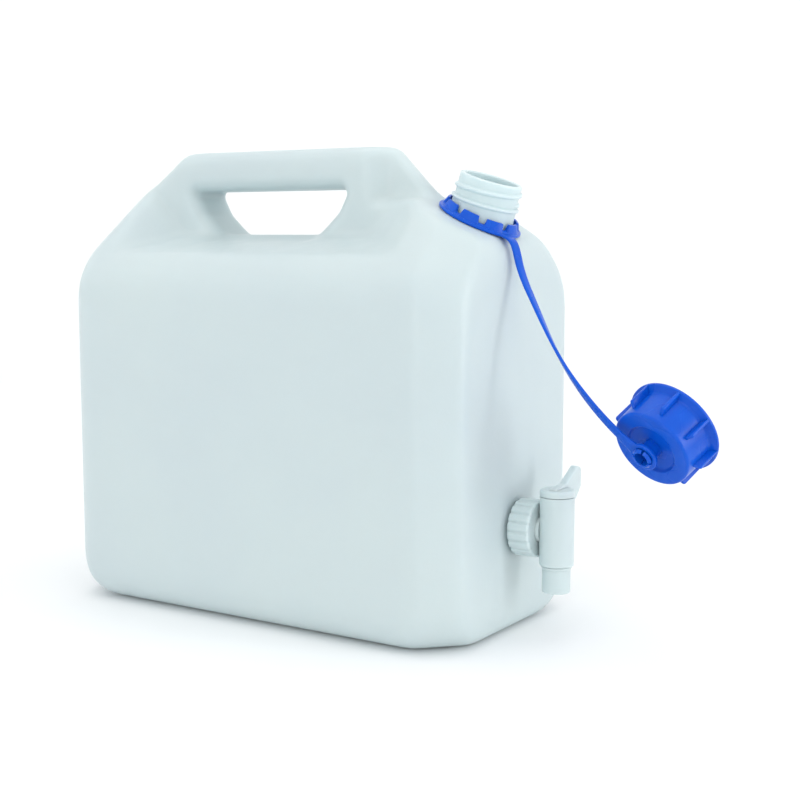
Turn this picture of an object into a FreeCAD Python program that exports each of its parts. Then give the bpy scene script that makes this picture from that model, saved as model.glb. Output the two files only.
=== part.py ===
import FreeCAD, Part
import math
import os

# Ten-litre blow-moulded jerry can with a filler cap on a moulded tether and a quarter-turn
# dispensing tap. Millimetres. X runs along the can, the neck and the tap are at +X, Z is up.
# The origin is on the floor, under the middle of the can's body.

# ---- driving dimensions -----------------------------------------------------------------
LENGTH = 304.0            # the body, along X
WIDTH = 170.0             # the body, along Y
HEIGHT = 299.5            # floor to the top of the handle
WALL = 1.8                # blown wall
CORNER_LEG_X = 22.0       # chamfered upright corners, along X and along Y
CORNER_LEG_Y = 18.0
CORNER_RADIUS = 10.0      # where a chamfer meets a wall
BASE_RADIUS = 22.0        # foot of the long sides
END_BASE_RADIUS = 12.0    # foot of the end walls
CORNER_BASE_RADIUS = 28.0
LEFT_CORNER_Z = 221.5     # the corners at -X fall away inwards from here
LEFT_CORNER_RISE = 1.08   # height gained for each millimetre inwards
LEFT_CORNER_RADIUS = 50.0
RIGHT_CORNER_Z = 215.0    # and the corners at +X from here
RIGHT_CORNER_RISE = 1.25
RIGHT_CORNER_RADIUS = 45.0
BASE_RECESS = 2.0         # depth of the two panels in the base
PANEL_MARGIN = 34.0       # from the can's sides to the panels
PANEL_BAND = 15.0         # half the flat band between the panels
SHOULDER_Z = 217.0        # the long sides turn inwards here, at 45 degrees
SHOULDER_RADIUS = 24.0
HIP_Z = 260.0             # the slope at -X meets the end wall here
HIP_RADIUS = 30.0
LEDGE_X = 93.3            # the slope at +X meets the neck's seat here
LEDGE_RADIUS = 12.0
NOSE_RADIUS = 20.0        # where the neck's seat meets the end wall
HANDLE_THICK = 40.0       # the handle's web, along Y
HANDLE_LEFT = -98.0       # ends of the handle's flat top
HANDLE_RIGHT = 64.5
HANDLE_DROP = 50.0        # the 45 degree slope at +X falls this far
RIDGE_THICK = 16.0        # the web thins to this ridge towards the neck
WEB_BASE_Z = 243.5        # the web stands on the roof here
WEB_FILLET = 12.0
ROOF_FALL = 11.0 / 50.0   # slope of the roof beside the handle
VALLEY_LEFT = -92.0       # the roof's ends beside the web; they fan out towards the sides
VALLEY_RIGHT = 50.0
VALLEY_FAR_LEFT = -132.0
VALLEY_FAR_RIGHT = 142.0
BANK_RUN = 0.8            # the valleys' ends lean back by this much for each millimetre up

GRIP_TOP = 273.7          # the grip hole
GRIP_BOTTOM = 244.3
GRIP_MIDDLE_X = -26.0
GRIP_TOP_WIDTH = 129.0
GRIP_BOTTOM_WIDTH = 81.0
GRIP_BULGE = 4.0          # the hole's sides bow out past a straight taper

SEAT = FreeCAD.Vector(123.7, 0, 253.0)      # middle of the flat seat round the neck
SEAT_TILT = 25.0          # the seat slopes down towards +X
NECK_FOOT = FreeCAD.Vector(124.3, 0, 253.5)
NECK_TILT = 18.0
NECK_HEIGHT = 26.0
NECK_RADIUS = 19.2
NECK_BORE = 16.5
THREAD_PITCH = 6.35
THREAD_DEPTH = 1.5
THREAD_TURNS = 1.4
THREAD_TOP = 3.2          # from the neck's lip down to the end of the thread
BEAD_HEIGHT = 11.3        # middle of the bead that keeps the tether ring on
BEAD_RADIUS = 21.2

RING_RADIUS = 26.6        # tether ring, outside
RING_FLAT = 2.0           # thickness of its flat flange
RING_CLEAR = 0.3          # above the seat
COLLAR_HEIGHT = 7.0
TOOTH_COUNT = 9
TOOTH_GAP = 4.4
TOOTH_HEIGHT = 3.8
TETHER_BEARING = -18.0    # where the strap leaves the ring, degrees from +X
STRAP_WIDTH = 6.0
STRAP_THICK = 2.0
STRAP_SECTIONS = 17
STRAP_ROOT = 28.6         # the ring's share of the strap ends here
HINGE_GAP = 1.6           # the thin bend between the ring's share and the strap
STRAP_ROUTE = [(157, -11, 229), (169, -15.5, 206.5), (191, -21.5, 172.5), (214.5, -24.5, 146)]
EYELET_RADIUS = 8.6
EYELET_THICK = 2.0
EYELET_HEIGHT = 6.4       # above the cap's face

CAP_FACE = FreeCAD.Vector(246.0, -19.0, 124.5)       # middle of the cap's face
CAP_NORMAL = FreeCAD.Vector(-0.262, -0.824, -0.498)  # the face looks down and towards -Y
CAP_RADIUS = 24.6
CAP_HEIGHT = 24.0
CAP_WALL = 2.4
CAP_FLANGE = 29.4
CAP_FIN_COUNT = 8
CAP_FIN_PHASE = -1.0
CAP_FIN_THICK = 2.2
CAP_PANEL_RADIUS = 14.6   # sunk middle of the face
CAP_PANEL_DEPTH = 2.2
CAP_TOP_WALL = 2.4
SEAL_THICK = 1.6
STUD_HEIGHT = 9.6         # above the cap's face
STUD_RADIUS = 5.6
STUD_BORE = 4.2
STUD_SLIT = 1.2           # two crossing slits let the stud's lip spring
STUD_SLIT_DEPTH = 5.0

END_X = LENGTH / 2
TAP_X = 179.0             # upright axis of the tap
TAP_Z = 67.0              # level axis of the tap's inlet
BARREL_RADIUS = 10.5
BARREL_LOW = 46.0
BARREL_HIGH = 88.0
PLUG_RADIUS = 8.6
PLUG_CLEAR = 0.1
PLUG_BORE = 6.4
OUTLET_LOW = 29.5
INLET_RADIUS = 8.0
INLET_BORE = 5.2
FLANGE_RADIUS = 12.6      # the tap's flange and the gasket
FLANGE_THICK = 2.7
PADDLE_THICK = 5.2
PADDLE_REACH = 28.0
PADDLE_DROP = 5.0         # the paddle hangs this far below its own head
SPIGOT_RADIUS = 13.0      # the can's own spigot for the tap
SPIGOT_BORE = 9.0
SPIGOT_END = 161.2
GASKET_THICK = 2.0
NUT_RADIUS = 17.6
NUT_START = 154.0
NUT_END = 168.1
NUT_WALL = 2.1
NUT_CLEAR = 0.2
FLUTE_COUNT = 18
FLUTE_RADIUS = 1.6

X_AXIS = FreeCAD.Vector(1, 0, 0)
Y_AXIS = FreeCAD.Vector(0, 1, 0)
Z_AXIS = FreeCAD.Vector(0, 0, 1)
ORIGIN = FreeCAD.Vector(0, 0, 0)


# ---- helpers ----------------------------------------------------------------------------
def rounded_face(corners, plane):
    """A flat face from (a, b, radius) corners; plane is "xz", "yz" or "xy"."""
    def lift(a, b):
        if plane == "xz":
            return FreeCAD.Vector(a, 0, b)
        if plane == "yz":
            return FreeCAD.Vector(0, a, b)
        return FreeCAD.Vector(a, b, 0)

    edges = []
    first = None
    last = None
    count = len(corners)
    for index in range(count):
        here = lift(corners[index][0], corners[index][1])
        radius = corners[index][2]
        before = lift(*corners[index - 1][:2]) - here
        after = lift(*corners[(index + 1) % count][:2]) - here
        before.normalize()
        after.normalize()
        if radius > 0:
            half = before.getAngle(after) / 2
            middle = before + after
            middle.normalize()
            start = here + before * (radius / math.tan(half))
            finish = here + after * (radius / math.tan(half))
            crown = here + middle * (radius / math.sin(half) - radius)
            arc = Part.Arc(start, crown, finish).toShape()
        else:
            start = here
            finish = here
            arc = None
        if last is not None and last.distanceToPoint(start) > 1e-6:
            edges.append(Part.makeLine(last, start))
        if first is None:
            first = start
        if arc is not None:
            edges.append(arc)
        last = finish
    if last.distanceToPoint(first) > 1e-6:
        edges.append(Part.makeLine(last, first))
    return Part.Face(Part.Wire(edges))


def prism(face, start, finish, axis):
    """Extrude a face that lies in a plane through the origin, from start to finish."""
    moved = face.copy()
    moved.translate(axis * start)
    return moved.extrude(axis * (finish - start))


def shrink(face, inset):
    """Offset a flat face inwards (or outwards, where inset is negative)."""
    if inset == 0:
        return face
    return face.makeOffset2D(-inset, 2)


def tube(outer, inner, low, high):
    """An upright tube about the Z axis."""
    wall = Part.makeCylinder(outer, high - low, FreeCAD.Vector(0, 0, low))
    return wall.cut(Part.makeCylinder(inner, high - low + 2, FreeCAD.Vector(0, 0, low - 1)))


def tilted(base, tilt):
    """Stand a shape that was made about Z on base, leaning towards +X."""
    return FreeCAD.Placement(base, FreeCAD.Rotation(Y_AXIS, tilt))


def moved(shape, placement):
    """A copy of the shape, carried by the placement."""
    result = shape.copy()
    result.Placement = placement.multiply(result.Placement)
    return result


def ring_of(shape, count, phase=0.0):
    """Copies of a shape, evenly spaced about the Z axis."""
    copies = []
    for index in range(count):
        turned = shape.copy()
        turned.rotate(ORIGIN, Z_AXIS, phase + index * 360.0 / count)
        copies.append(turned)
    return copies


def lathe(corners):
    """Turn an (r, z, radius) outline about the Z axis."""
    return rounded_face(corners, "xz").revolve(ORIGIN, Z_AXIS, 360)


# ---- the can ----------------------------------------------------------------------------
def side_outline():
    """The can seen along Y: base, both ends, the left hip and the sloping neck seat."""
    fall = math.tan(math.radians(SEAT_TILT))
    nose_z = SEAT.z - fall * (END_X - SEAT.x)
    ledge_z = SEAT.z + fall * (SEAT.x - LEDGE_X)
    hidden_z = 262.0      # between the handle's ends the outline runs inside the web
    return rounded_face([
        (-END_X, 0, END_BASE_RADIUS),
        (END_X, 0, END_BASE_RADIUS),
        (END_X, nose_z, NOSE_RADIUS),
        (LEDGE_X, ledge_z, LEDGE_RADIUS),
        (HANDLE_RIGHT - 24, hidden_z, 0),
        (HANDLE_LEFT + 36, hidden_z, 0),
        (HANDLE_LEFT + 20, HEIGHT, 0),
        (HANDLE_LEFT + 3, HEIGHT, 10),
        (-END_X, HIP_Z, HIP_RADIUS),
    ], "xz")


def end_outline():
    """The can seen along X: upright sides that turn in at 45 degrees to the handle web."""
    half = WIDTH / 2
    web = HANDLE_THICK / 2
    knee_z = SHOULDER_Z + half - web
    return rounded_face([
        (-half, 0, BASE_RADIUS),
        (half, 0, BASE_RADIUS),
        (half, SHOULDER_Z, SHOULDER_RADIUS),
        (web, knee_z, WEB_FILLET),
        (web, HEIGHT, 7),
        (-web, HEIGHT, 7),
        (-web, knee_z, WEB_FILLET),
        (-half, SHOULDER_Z, SHOULDER_RADIUS),
    ], "yz")


def plan_outline():
    """The can seen from above: a rectangle with chamfered corners."""
    half = WIDTH / 2
    flat_x = END_X - CORNER_LEG_X
    flat_y = half - CORNER_LEG_Y
    radius = CORNER_RADIUS
    return rounded_face([
        (-flat_x, -half, radius),
        (flat_x, -half, radius),
        (END_X, -flat_y, radius),
        (END_X, flat_y, radius),
        (flat_x, half, radius),
        (-flat_x, half, radius),
        (-END_X, flat_y, radius),
        (-END_X, -flat_y, radius),
    ], "xy")


def corner_outline():
    """The can seen along a diagonal: wide curves at the foot and the top of each corner."""
    leg = (CORNER_LEG_X + CORNER_LEG_Y) / 2
    reach = (END_X + WIDTH / 2 - leg) / math.sqrt(2)
    inwards = 80.0
    left_top = LEFT_CORNER_Z + inwards * LEFT_CORNER_RISE
    right_top = RIGHT_CORNER_Z + inwards * RIGHT_CORNER_RISE
    return rounded_face([
        (-reach, 0, CORNER_BASE_RADIUS),
        (reach, 0, CORNER_BASE_RADIUS),
        (reach, RIGHT_CORNER_Z, RIGHT_CORNER_RADIUS),
        (reach - inwards, right_top, 0),
        (inwards - reach, left_top, 0),
        (-reach, LEFT_CORNER_Z, LEFT_CORNER_RADIUS),
    ], "xz")


def web_outline():
    """The handle web seen along Y, with the slope down to the neck."""
    drop = HANDLE_DROP
    foot_z = HEIGHT - 70
    return rounded_face([
        (HANDLE_LEFT + drop / 3, foot_z, 0),
        (HANDLE_RIGHT + drop, foot_z, 0),
        (HANDLE_RIGHT + drop, HEIGHT - drop, 0),
        (HANDLE_RIGHT, HEIGHT, 9),
        (HANDLE_LEFT, HEIGHT, 9),
        (HANDLE_LEFT - drop / 2, HEIGHT - drop / 2, 0),
    ], "xz")


def web_plan():
    """The web seen from above: chamfered towards the neck, where it thins to a ridge."""
    web = HANDLE_THICK / 2
    ridge = RIDGE_THICK / 2
    start = HANDLE_LEFT - 30
    end = HANDLE_RIGHT - web + ridge
    tail = HANDLE_RIGHT + HANDLE_DROP - 5
    return rounded_face([
        (start, -web, 0),
        (end, -web, 6),
        (HANDLE_RIGHT, -ridge, 3),
        (tail, -ridge, 0),
        (tail, ridge, 0),
        (HANDLE_RIGHT, ridge, 3),
        (end, web, 6),
        (start, web, 0),
    ], "xy")


def grip_outline():
    """The grip hole: a flat top, and sides that curve in to a narrower flat bottom."""
    top = GRIP_TOP_WIDTH / 2
    bottom = GRIP_BOTTOM_WIDTH / 2
    middle = (top + bottom) / 2 + GRIP_BULGE
    waist = (GRIP_TOP + GRIP_BOTTOM) / 2
    x = GRIP_MIDDLE_X
    return rounded_face([
        (x - bottom, GRIP_BOTTOM, 7),
        (x + bottom, GRIP_BOTTOM, 7),
        (x + middle, waist, 14),
        (x + top, GRIP_TOP, 3),
        (x - top, GRIP_TOP, 3),
        (x - middle, waist, 14),
    ], "xz")


def valley(inset, side):
    """The space above the roof on one side of the handle."""
    near = HANDLE_THICK / 2
    far = WIDTH / 2 + 15
    far_z = WEB_BASE_Z - ROOF_FALL * (far - near)
    sky = HEIGHT + 20
    section = rounded_face([
        (side * near, WEB_BASE_Z, 5),
        (side * far, far_z, 0),
        (side * far, sky, 0),
        (side * near, sky, 0),
    ], "yz")
    rims = []
    for z in (far_z - 20, sky):
        lean = BANK_RUN * (z - far_z)
        rim = rounded_face([
            (VALLEY_LEFT - lean, side * (near - 4), 0),
            (VALLEY_RIGHT + lean, side * (near - 4), 0),
            (VALLEY_FAR_RIGHT + lean, side * far, 0),
            (VALLEY_FAR_LEFT - lean, side * far, 0),
        ], "xy")
        rim.translate(Z_AXIS * z)
        rims.append(shrink(rim, -inset * math.hypot(1, BANK_RUN)).OuterWire)
    fan = Part.makeLoft(rims, True, True)
    cut = prism(shrink(section, -inset), -END_X, END_X, X_AXIS)
    return cut.common(fan)


def can_form(inset):
    """The can's solid form, with every face set in by the same amount."""
    reach_x = END_X + 1
    reach_y = WIDTH / 2 + 1
    form = prism(shrink(side_outline(), inset), -reach_y, reach_y, Y_AXIS)
    ends = prism(shrink(end_outline(), inset), -reach_x, reach_x, X_AXIS)
    plan = prism(shrink(plan_outline(), inset), -1, HEIGHT + 1, Z_AXIS)
    form = form.common(ends).common(plan)
    corners = []
    for turn in (45, -45):
        corner = prism(shrink(corner_outline(), inset), -LENGTH, LENGTH, Y_AXIS)
        corner.rotate(ORIGIN, Z_AXIS, turn)
        corners.append(corner)
        form = form.common(corner)
    form = form.cut(valley(inset, -1))
    form = form.cut(valley(inset, 1))
    web = prism(shrink(web_outline(), inset), -reach_y, reach_y, Y_AXIS)
    web = web.common(prism(shrink(web_plan(), inset), 0, HEIGHT + 1, Z_AXIS))
    web = web.common(ends).common(corners[0]).common(corners[1])
    form = form.fuse(web).removeSplitter()
    grip = prism(shrink(grip_outline(), -inset), -HANDLE_THICK, HANDLE_THICK, Y_AXIS)
    form = form.cut(grip)
    panels = prism(shrink(plan_outline(), PANEL_MARGIN - inset), -1, BASE_RECESS + inset, Z_AXIS)
    half_band = PANEL_BAND - inset
    band = Part.makeBox(2 * half_band, WIDTH, 20, FreeCAD.Vector(-half_band, -WIDTH / 2, -5))
    return form.cut(panels.cut(band))


def neck_thread():
    """A helical ridge for the cap, about the Z axis, with its foot at z = 0."""
    height = THREAD_PITCH * THREAD_TURNS
    helix = Part.makeHelix(THREAD_PITCH, height, NECK_RADIUS)
    root = NECK_RADIUS - 0.6
    crest = NECK_RADIUS + THREAD_DEPTH
    section = Part.makePolygon([
        FreeCAD.Vector(root, 0, -1.9),
        FreeCAD.Vector(root, 0, 1.9),
        FreeCAD.Vector(crest, 0, 0.7),
        FreeCAD.Vector(crest, 0, -0.7),
        FreeCAD.Vector(root, 0, -1.9),
    ])
    return Part.Wire(helix).makePipeShell([section], True, True)


def can_body():
    """The blown can: shell, neck and tap spigot in one piece."""
    shell = can_form(0.0)
    neck_place = tilted(NECK_FOOT, NECK_TILT)
    foot = -8.0           # the neck starts inside the shell
    neck = lathe([
        (0, foot, 0),
        (NECK_RADIUS + 0.7, foot, 0),
        (NECK_RADIUS + 0.7, BEAD_HEIGHT - 1.1, 0),
        (BEAD_RADIUS, BEAD_HEIGHT - 0.7, 0.3),
        (BEAD_RADIUS, BEAD_HEIGHT + 0.5, 0.3),
        (NECK_RADIUS, BEAD_HEIGHT + 1.0, 0),
        (NECK_RADIUS, NECK_HEIGHT, 0.8),
        (0, NECK_HEIGHT, 0),
    ])
    thread = neck_thread()
    thread.translate(Z_AXIS * (NECK_HEIGHT - THREAD_TOP - THREAD_PITCH * THREAD_TURNS))
    neck = moved(neck.fuse(thread), neck_place)
    spigot = Part.makeCylinder(
        SPIGOT_RADIUS, SPIGOT_END - END_X + WALL, FreeCAD.Vector(END_X - WALL, 0, TAP_Z), X_AXIS)
    shell = shell.fuse(neck).fuse(spigot)
    shell = shell.cut(can_form(WALL))
    bore = Part.makeCylinder(NECK_BORE, NECK_HEIGHT + 30, FreeCAD.Vector(0, 0, -20))
    shell = shell.cut(moved(bore, neck_place))
    port = Part.makeCylinder(
        SPIGOT_BORE, SPIGOT_END - END_X + 20, FreeCAD.Vector(END_X - 10, 0, TAP_Z), X_AXIS)
    return shell.cut(port).removeSplitter()


# ---- the tether -------------------------------------------------------------------------
def tether_ring():
    """A flat flange with a toothed collar that hugs the neck, and the strap's root."""
    low = RING_CLEAR
    top = low + COLLAR_HEIGHT
    ring = lathe([
        (22.4, low, 0),
        (RING_RADIUS, low, 0.6),
        (RING_RADIUS, low + RING_FLAT, 0.6),
        (25.0, low + RING_FLAT, 0),
        (23.0, top, 0.4),
        (21.4, top, 0.4),
        (22.4, low + 3, 0),
    ])
    notch = Part.makeBox(
        8, TOOTH_GAP, 6, FreeCAD.Vector(19, -TOOTH_GAP / 2, top - TOOTH_HEIGHT))
    for gap in ring_of(notch, TOOTH_COUNT, TETHER_BEARING):
        ring = ring.cut(gap)
    root = Part.makeBox(
        STRAP_ROOT - 24.5, STRAP_WIDTH, RING_FLAT, FreeCAD.Vector(24.5, -STRAP_WIDTH / 2, low))
    root.rotate(ORIGIN, Z_AXIS, TETHER_BEARING)
    return moved(ring.fuse(root).removeSplitter(), tilted(SEAT, SEAT_TILT))


def strap_frames():
    """Centre, travel and width directions of the strap, from its root to the eyelet."""
    lean = FreeCAD.Rotation(Y_AXIS, SEAT_TILT)
    turn = FreeCAD.Rotation(Z_AXIS, TETHER_BEARING)
    outwards = lean.multVec(turn.multVec(X_AXIS))
    across = lean.multVec(turn.multVec(Y_AXIS))
    seat_up = lean.multVec(Z_AXIS)
    start = SEAT + outwards * (STRAP_ROOT + HINGE_GAP) + seat_up * (RING_CLEAR + RING_FLAT / 2)
    face_up = FreeCAD.Vector(CAP_NORMAL).normalize()
    arrival = FreeCAD.Vector(0.69, -0.09, -0.72)
    arrival = (arrival - face_up * arrival.dot(face_up)).normalize()
    eyelet = CAP_FACE + face_up * EYELET_HEIGHT
    finish = eyelet - arrival * (EYELET_RADIUS - 1.2)
    line = Part.BSplineCurve()
    line.interpolate(
        [start] + [FreeCAD.Vector(*point) for point in STRAP_ROUTE] + [finish],
        InitialTangent=outwards, FinalTangent=arrival)
    last_across = arrival.cross(face_up)
    frames = []
    for index in range(STRAP_SECTIONS):
        share = index / (STRAP_SECTIONS - 1)
        value = line.parameterAtDistance(share * line.length(), line.FirstParameter)
        travel = FreeCAD.Vector(line.tangent(value)[0])
        twist = share * share * (3 - 2 * share)
        width = across * (1 - twist) + last_across * twist
        width = (width - travel * width.dot(travel)).normalize()
        frames.append((line.value(value), travel, width))
    return frames, eyelet, face_up


def tether_strap():
    """The flat strap, twisting as it goes, with the eyelet that turns on the cap's stud."""
    frames, eyelet, face_up = strap_frames()
    sections = []
    for centre, travel, width in frames:
        side = width * (STRAP_WIDTH / 2)
        rise = travel.cross(width) * (STRAP_THICK / 2)
        corners = [centre + side + rise, centre - side + rise, centre - side - rise,
                   centre + side - rise]
        sections.append(Part.makePolygon(corners + corners[:1]))
    strap = Part.makeLoft(sections, True, True)
    eye = tube(EYELET_RADIUS, STUD_RADIUS + 0.4, -EYELET_THICK / 2, EYELET_THICK / 2)
    eye = moved(eye, FreeCAD.Placement(eyelet, FreeCAD.Rotation(Z_AXIS, face_up)))
    hole = Part.makeCylinder(STUD_RADIUS + 0.4, 8, FreeCAD.Vector(0, 0, -4))
    hole = moved(hole, FreeCAD.Placement(eyelet, FreeCAD.Rotation(Z_AXIS, face_up)))
    return strap.fuse(eye).cut(hole).removeSplitter()


# ---- the cap ----------------------------------------------------------------------------
def cap_placement():
    """Carries the cap from its own frame, where its face is at z = 0, to where it hangs."""
    return FreeCAD.Placement(CAP_FACE, FreeCAD.Rotation(Z_AXIS, CAP_NORMAL))


def cap():
    """Screw cap: recessed face, hollow stud for the eyelet, grip fins and a rim flange."""
    sunk = -CAP_PANEL_DEPTH
    inside = sunk - CAP_TOP_WALL
    bore = CAP_RADIUS - CAP_WALL
    body = lathe([
        (0, sunk, 0),
        (CAP_PANEL_RADIUS, sunk, 0.8),
        (CAP_PANEL_RADIUS + 1.2, 0, 0.6),
        (CAP_RADIUS, 0, 1.2),
        (CAP_RADIUS + 0.5, 3.5 - CAP_HEIGHT, 1.0),
        (CAP_FLANGE, 1.4 - CAP_HEIGHT, 0.6),
        (CAP_FLANGE, -CAP_HEIGHT, 0),
        (bore, -CAP_HEIGHT, 0),
        (bore, inside, 0),
        (0, inside, 0),
    ])
    root = CAP_RADIUS - 0.8
    tip = CAP_FLANGE - 0.2
    fin = rounded_face([
        (root, 1 - CAP_HEIGHT, 0),
        (tip, 1 - CAP_HEIGHT, 0),
        (tip, -6.8, 1.2),
        (root, -5.0, 0),
    ], "xz")
    fin = prism(fin, -CAP_FIN_THICK / 2, CAP_FIN_THICK / 2, Y_AXIS)
    for blade in ring_of(fin, CAP_FIN_COUNT, CAP_FIN_PHASE):
        body = body.fuse(blade)
    stud = lathe([
        (STUD_BORE, sunk - 0.6, 0),
        (STUD_RADIUS, sunk - 0.6, 0),
        (STUD_RADIUS, STUD_HEIGHT - 2.0, 0),
        (STUD_RADIUS + 0.8, STUD_HEIGHT - 1.4, 0),
        (STUD_RADIUS - 0.3, STUD_HEIGHT, 0),
        (STUD_BORE, STUD_HEIGHT, 0),
    ])
    slit = Part.makeBox(2 * STUD_RADIUS, STUD_SLIT, STUD_SLIT_DEPTH + 1,
                        FreeCAD.Vector(0, -STUD_SLIT / 2, STUD_HEIGHT - STUD_SLIT_DEPTH))
    for gap in ring_of(slit, 4, 45):
        stud = stud.cut(gap)
    return moved(body.fuse(stud).removeSplitter(), cap_placement())


def cap_seal():
    """The soft disc inside the cap that closes on the neck's lip."""
    low = -CAP_PANEL_DEPTH - CAP_TOP_WALL - SEAL_THICK
    radius = CAP_RADIUS - CAP_WALL - 0.3
    disc = Part.makeCylinder(radius, SEAL_THICK, FreeCAD.Vector(0, 0, low))
    return moved(disc, cap_placement())


# ---- the tap ----------------------------------------------------------------------------
def along_inlet(shape):
    """Lay a shape that was made about Z along the tap's inlet, its z measured along X."""
    return moved(shape, FreeCAD.Placement(FreeCAD.Vector(0, 0, TAP_Z), FreeCAD.Rotation(Y_AXIS, 90)))


def tap_gasket():
    """Flat ring between the can's spigot and the tap's flange."""
    return along_inlet(tube(FLANGE_RADIUS, SPIGOT_BORE, SPIGOT_END, SPIGOT_END + GASKET_THICK))


def tap_nut():
    """Ribbed union nut that pulls the tap's flange onto the gasket."""
    bore = SPIGOT_RADIUS + NUT_CLEAR
    mouth = INLET_RADIUS + NUT_CLEAR
    nut = lathe([
        (bore, NUT_START, 0),
        (NUT_RADIUS, NUT_START, 1.0),
        (NUT_RADIUS, NUT_END, 1.2),
        (mouth, NUT_END, 0),
        (mouth, NUT_END - NUT_WALL, 0),
        (bore, NUT_END - NUT_WALL, 0),
    ])
    groove = Part.makeCylinder(FLUTE_RADIUS, NUT_END - NUT_START + 4,
                               FreeCAD.Vector(NUT_RADIUS + FLUTE_RADIUS / 2, 0, NUT_START - 2))
    for flute in ring_of(groove, FLUTE_COUNT, 180 / FLUTE_COUNT):
        nut = nut.cut(flute)
    return along_inlet(nut)


def tap_body():
    """The tap's fixed half: flange, level inlet and upright barrel."""
    flange_start = SPIGOT_END + GASKET_THICK
    bore = PLUG_RADIUS + PLUG_CLEAR
    barrel = lathe([
        (bore, BARREL_LOW, 0),
        (BARREL_RADIUS, BARREL_LOW, 0.8),
        (BARREL_RADIUS, BARREL_HIGH, 0.5),
        (bore, BARREL_HIGH, 0),
    ])
    barrel.translate(X_AXIS * TAP_X)
    flange = Part.makeCylinder(FLANGE_RADIUS, FLANGE_THICK, FreeCAD.Vector(0, 0, flange_start))
    inlet = Part.makeCylinder(INLET_RADIUS, TAP_X - 3 - flange_start,
                              FreeCAD.Vector(0, 0, flange_start))
    well = Part.makeCylinder(bore, BARREL_HIGH, FreeCAD.Vector(TAP_X, 0, BARREL_LOW / 2))
    inlet = along_inlet(flange.fuse(inlet)).cut(well)
    port = along_inlet(Part.makeCylinder(INLET_BORE, TAP_X - flange_start,
                                         FreeCAD.Vector(0, 0, flange_start - 1)))
    return barrel.fuse(inlet).cut(port).removeSplitter()


def tap_plug():
    """The turning half: hollow plug with a side port, the outlet below and a paddle lever."""
    head = BARREL_HIGH + 0.3
    head_top = head + 4.2
    bore_top = TAP_Z + 9
    bead = PLUG_RADIUS + 0.7
    plug = lathe([
        (0, bore_top, 0),
        (PLUG_BORE, bore_top, 0),
        (PLUG_BORE, OUTLET_LOW, 0),
        (PLUG_RADIUS, OUTLET_LOW, 0.8),
        (PLUG_RADIUS, BARREL_LOW - 2.2, 0),
        (bead, BARREL_LOW - 1.2, 0),
        (bead, BARREL_LOW - 0.4, 0),
        (PLUG_RADIUS, BARREL_LOW - 0.4, 0),
        (PLUG_RADIUS, head, 0),
        (BARREL_RADIUS, head, 0),
        (BARREL_RADIUS, head_top, 1.2),
        (0, head_top, 0),
    ])
    port = Part.makeCylinder(INLET_BORE, 20, FreeCAD.Vector(0, 0, TAP_Z), Y_AXIS)
    plug = plug.cut(port)
    paddle = rounded_face([
        (-7, head_top - 2, 0),
        (11.5, head_top - 2, 0),
        (12.2, head - PADDLE_DROP, 1),
        (PADDLE_REACH - 7, head - PADDLE_DROP, 3),
        (PADDLE_REACH, head + 2.5, 3),
        (PADDLE_REACH, head + 14, 3),
        (PADDLE_REACH - 5, head + 15.5, 2),
        (7, head + 6.5, 4),
        (-7, head_top + 0.8, 1.5),
    ], "yz")
    half = PADDLE_THICK / 2
    plug = plug.fuse(prism(paddle, -half, half, X_AXIS)).removeSplitter()
    plug.translate(X_AXIS * TAP_X)
    return plug


# ---- write one file per piece -----------------------------------------------------------
PIECES = {
    "can_body": can_body,
    "tether_ring": tether_ring,
    "tether_strap": tether_strap,
    "cap": cap,
    "cap_seal": cap_seal,
    "tap_gasket": tap_gasket,
    "tap_nut": tap_nut,
    "tap_body": tap_body,
    "tap_plug": tap_plug,
}

os.makedirs("parts", exist_ok=True)
for name, make in PIECES.items():
    piece = make()
    piece.exportStep("parts/" + name + ".step")
    print(name, piece.isValid(), len(piece.Solids), round(piece.Volume / 1000, 2), "cm3")
print("brim volume about", round(can_form(WALL).Volume / 1e6, 2), "litres")
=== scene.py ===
import math

import bmesh
import bpy
import numpy as np
import openvdb
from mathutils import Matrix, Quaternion, Vector


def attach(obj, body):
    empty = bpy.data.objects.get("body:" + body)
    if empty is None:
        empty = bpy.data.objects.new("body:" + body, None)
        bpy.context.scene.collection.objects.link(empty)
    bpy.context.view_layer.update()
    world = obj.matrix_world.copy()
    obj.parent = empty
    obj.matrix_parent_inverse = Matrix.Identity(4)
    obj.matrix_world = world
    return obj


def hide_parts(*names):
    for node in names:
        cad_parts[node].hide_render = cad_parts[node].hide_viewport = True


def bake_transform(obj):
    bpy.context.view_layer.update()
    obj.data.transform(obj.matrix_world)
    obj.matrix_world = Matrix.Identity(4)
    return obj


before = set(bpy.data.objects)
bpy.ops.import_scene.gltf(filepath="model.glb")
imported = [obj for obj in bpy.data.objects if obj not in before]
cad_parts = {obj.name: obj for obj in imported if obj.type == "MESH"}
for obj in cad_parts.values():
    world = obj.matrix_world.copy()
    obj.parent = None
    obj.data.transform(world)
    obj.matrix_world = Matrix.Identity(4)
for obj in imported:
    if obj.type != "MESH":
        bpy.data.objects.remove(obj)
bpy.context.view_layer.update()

# Looks of a blow-moulded water can. Shapes are worked out in millimetres and turned into
# metres when a mesh is made; x runs along the can, the neck and the tap are at +x.
MM = 0.001

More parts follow.
